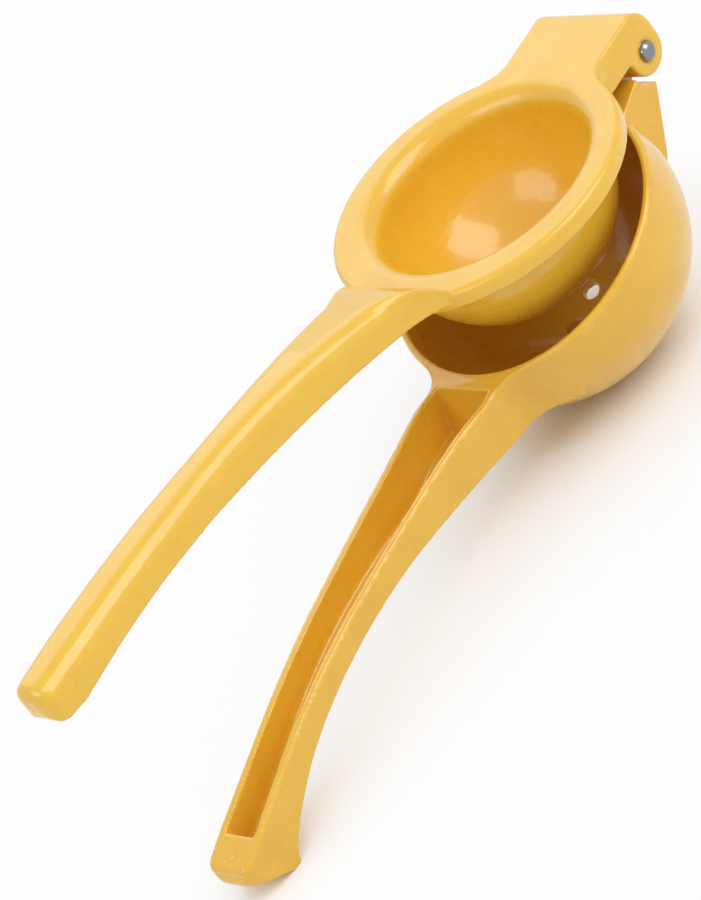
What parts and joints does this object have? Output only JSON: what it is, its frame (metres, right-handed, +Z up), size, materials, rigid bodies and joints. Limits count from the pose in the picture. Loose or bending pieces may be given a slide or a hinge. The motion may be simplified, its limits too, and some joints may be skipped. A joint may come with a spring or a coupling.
{
  "type": "hinged lemon squeezer",
  "caption": "Hand squeezer for lemon halves: a domed press arm swings on a riveted pin into a perforated strainer bowl with a trough handle.",
  "frame": {"origin": "middle of the footprint, on the surface that the squeezer stands on, half open as in the picture", "axes": "+X from the hinge to the ends of the handles, +Y along the hinge pin, +Z up"},
  "size_m": [0.2208, 0.0724, 0.0803],
  "materials": {
    "strainer_enamel": "glossy baked enamel on cast aluminium",
    "press_enamel": "glossy baked enamel on cast aluminium",
    "pin_steel": "bright stainless steel, upset head"
  },
  "bodies": {
    "strainer": {"strainer_arm": "strainer_enamel"},
    "press": {"press_arm": "press_enamel", "hinge_pin": "pin_steel"}
  },
  "joints": [
    {"name": "hinge", "type": "hinge", "parent": "strainer", "child": "press", "pos_m": [-0.1043, 0, 0.04968], "axis": [0, -1, 0], "range_deg": [-16.1, 99]}
  ]
}
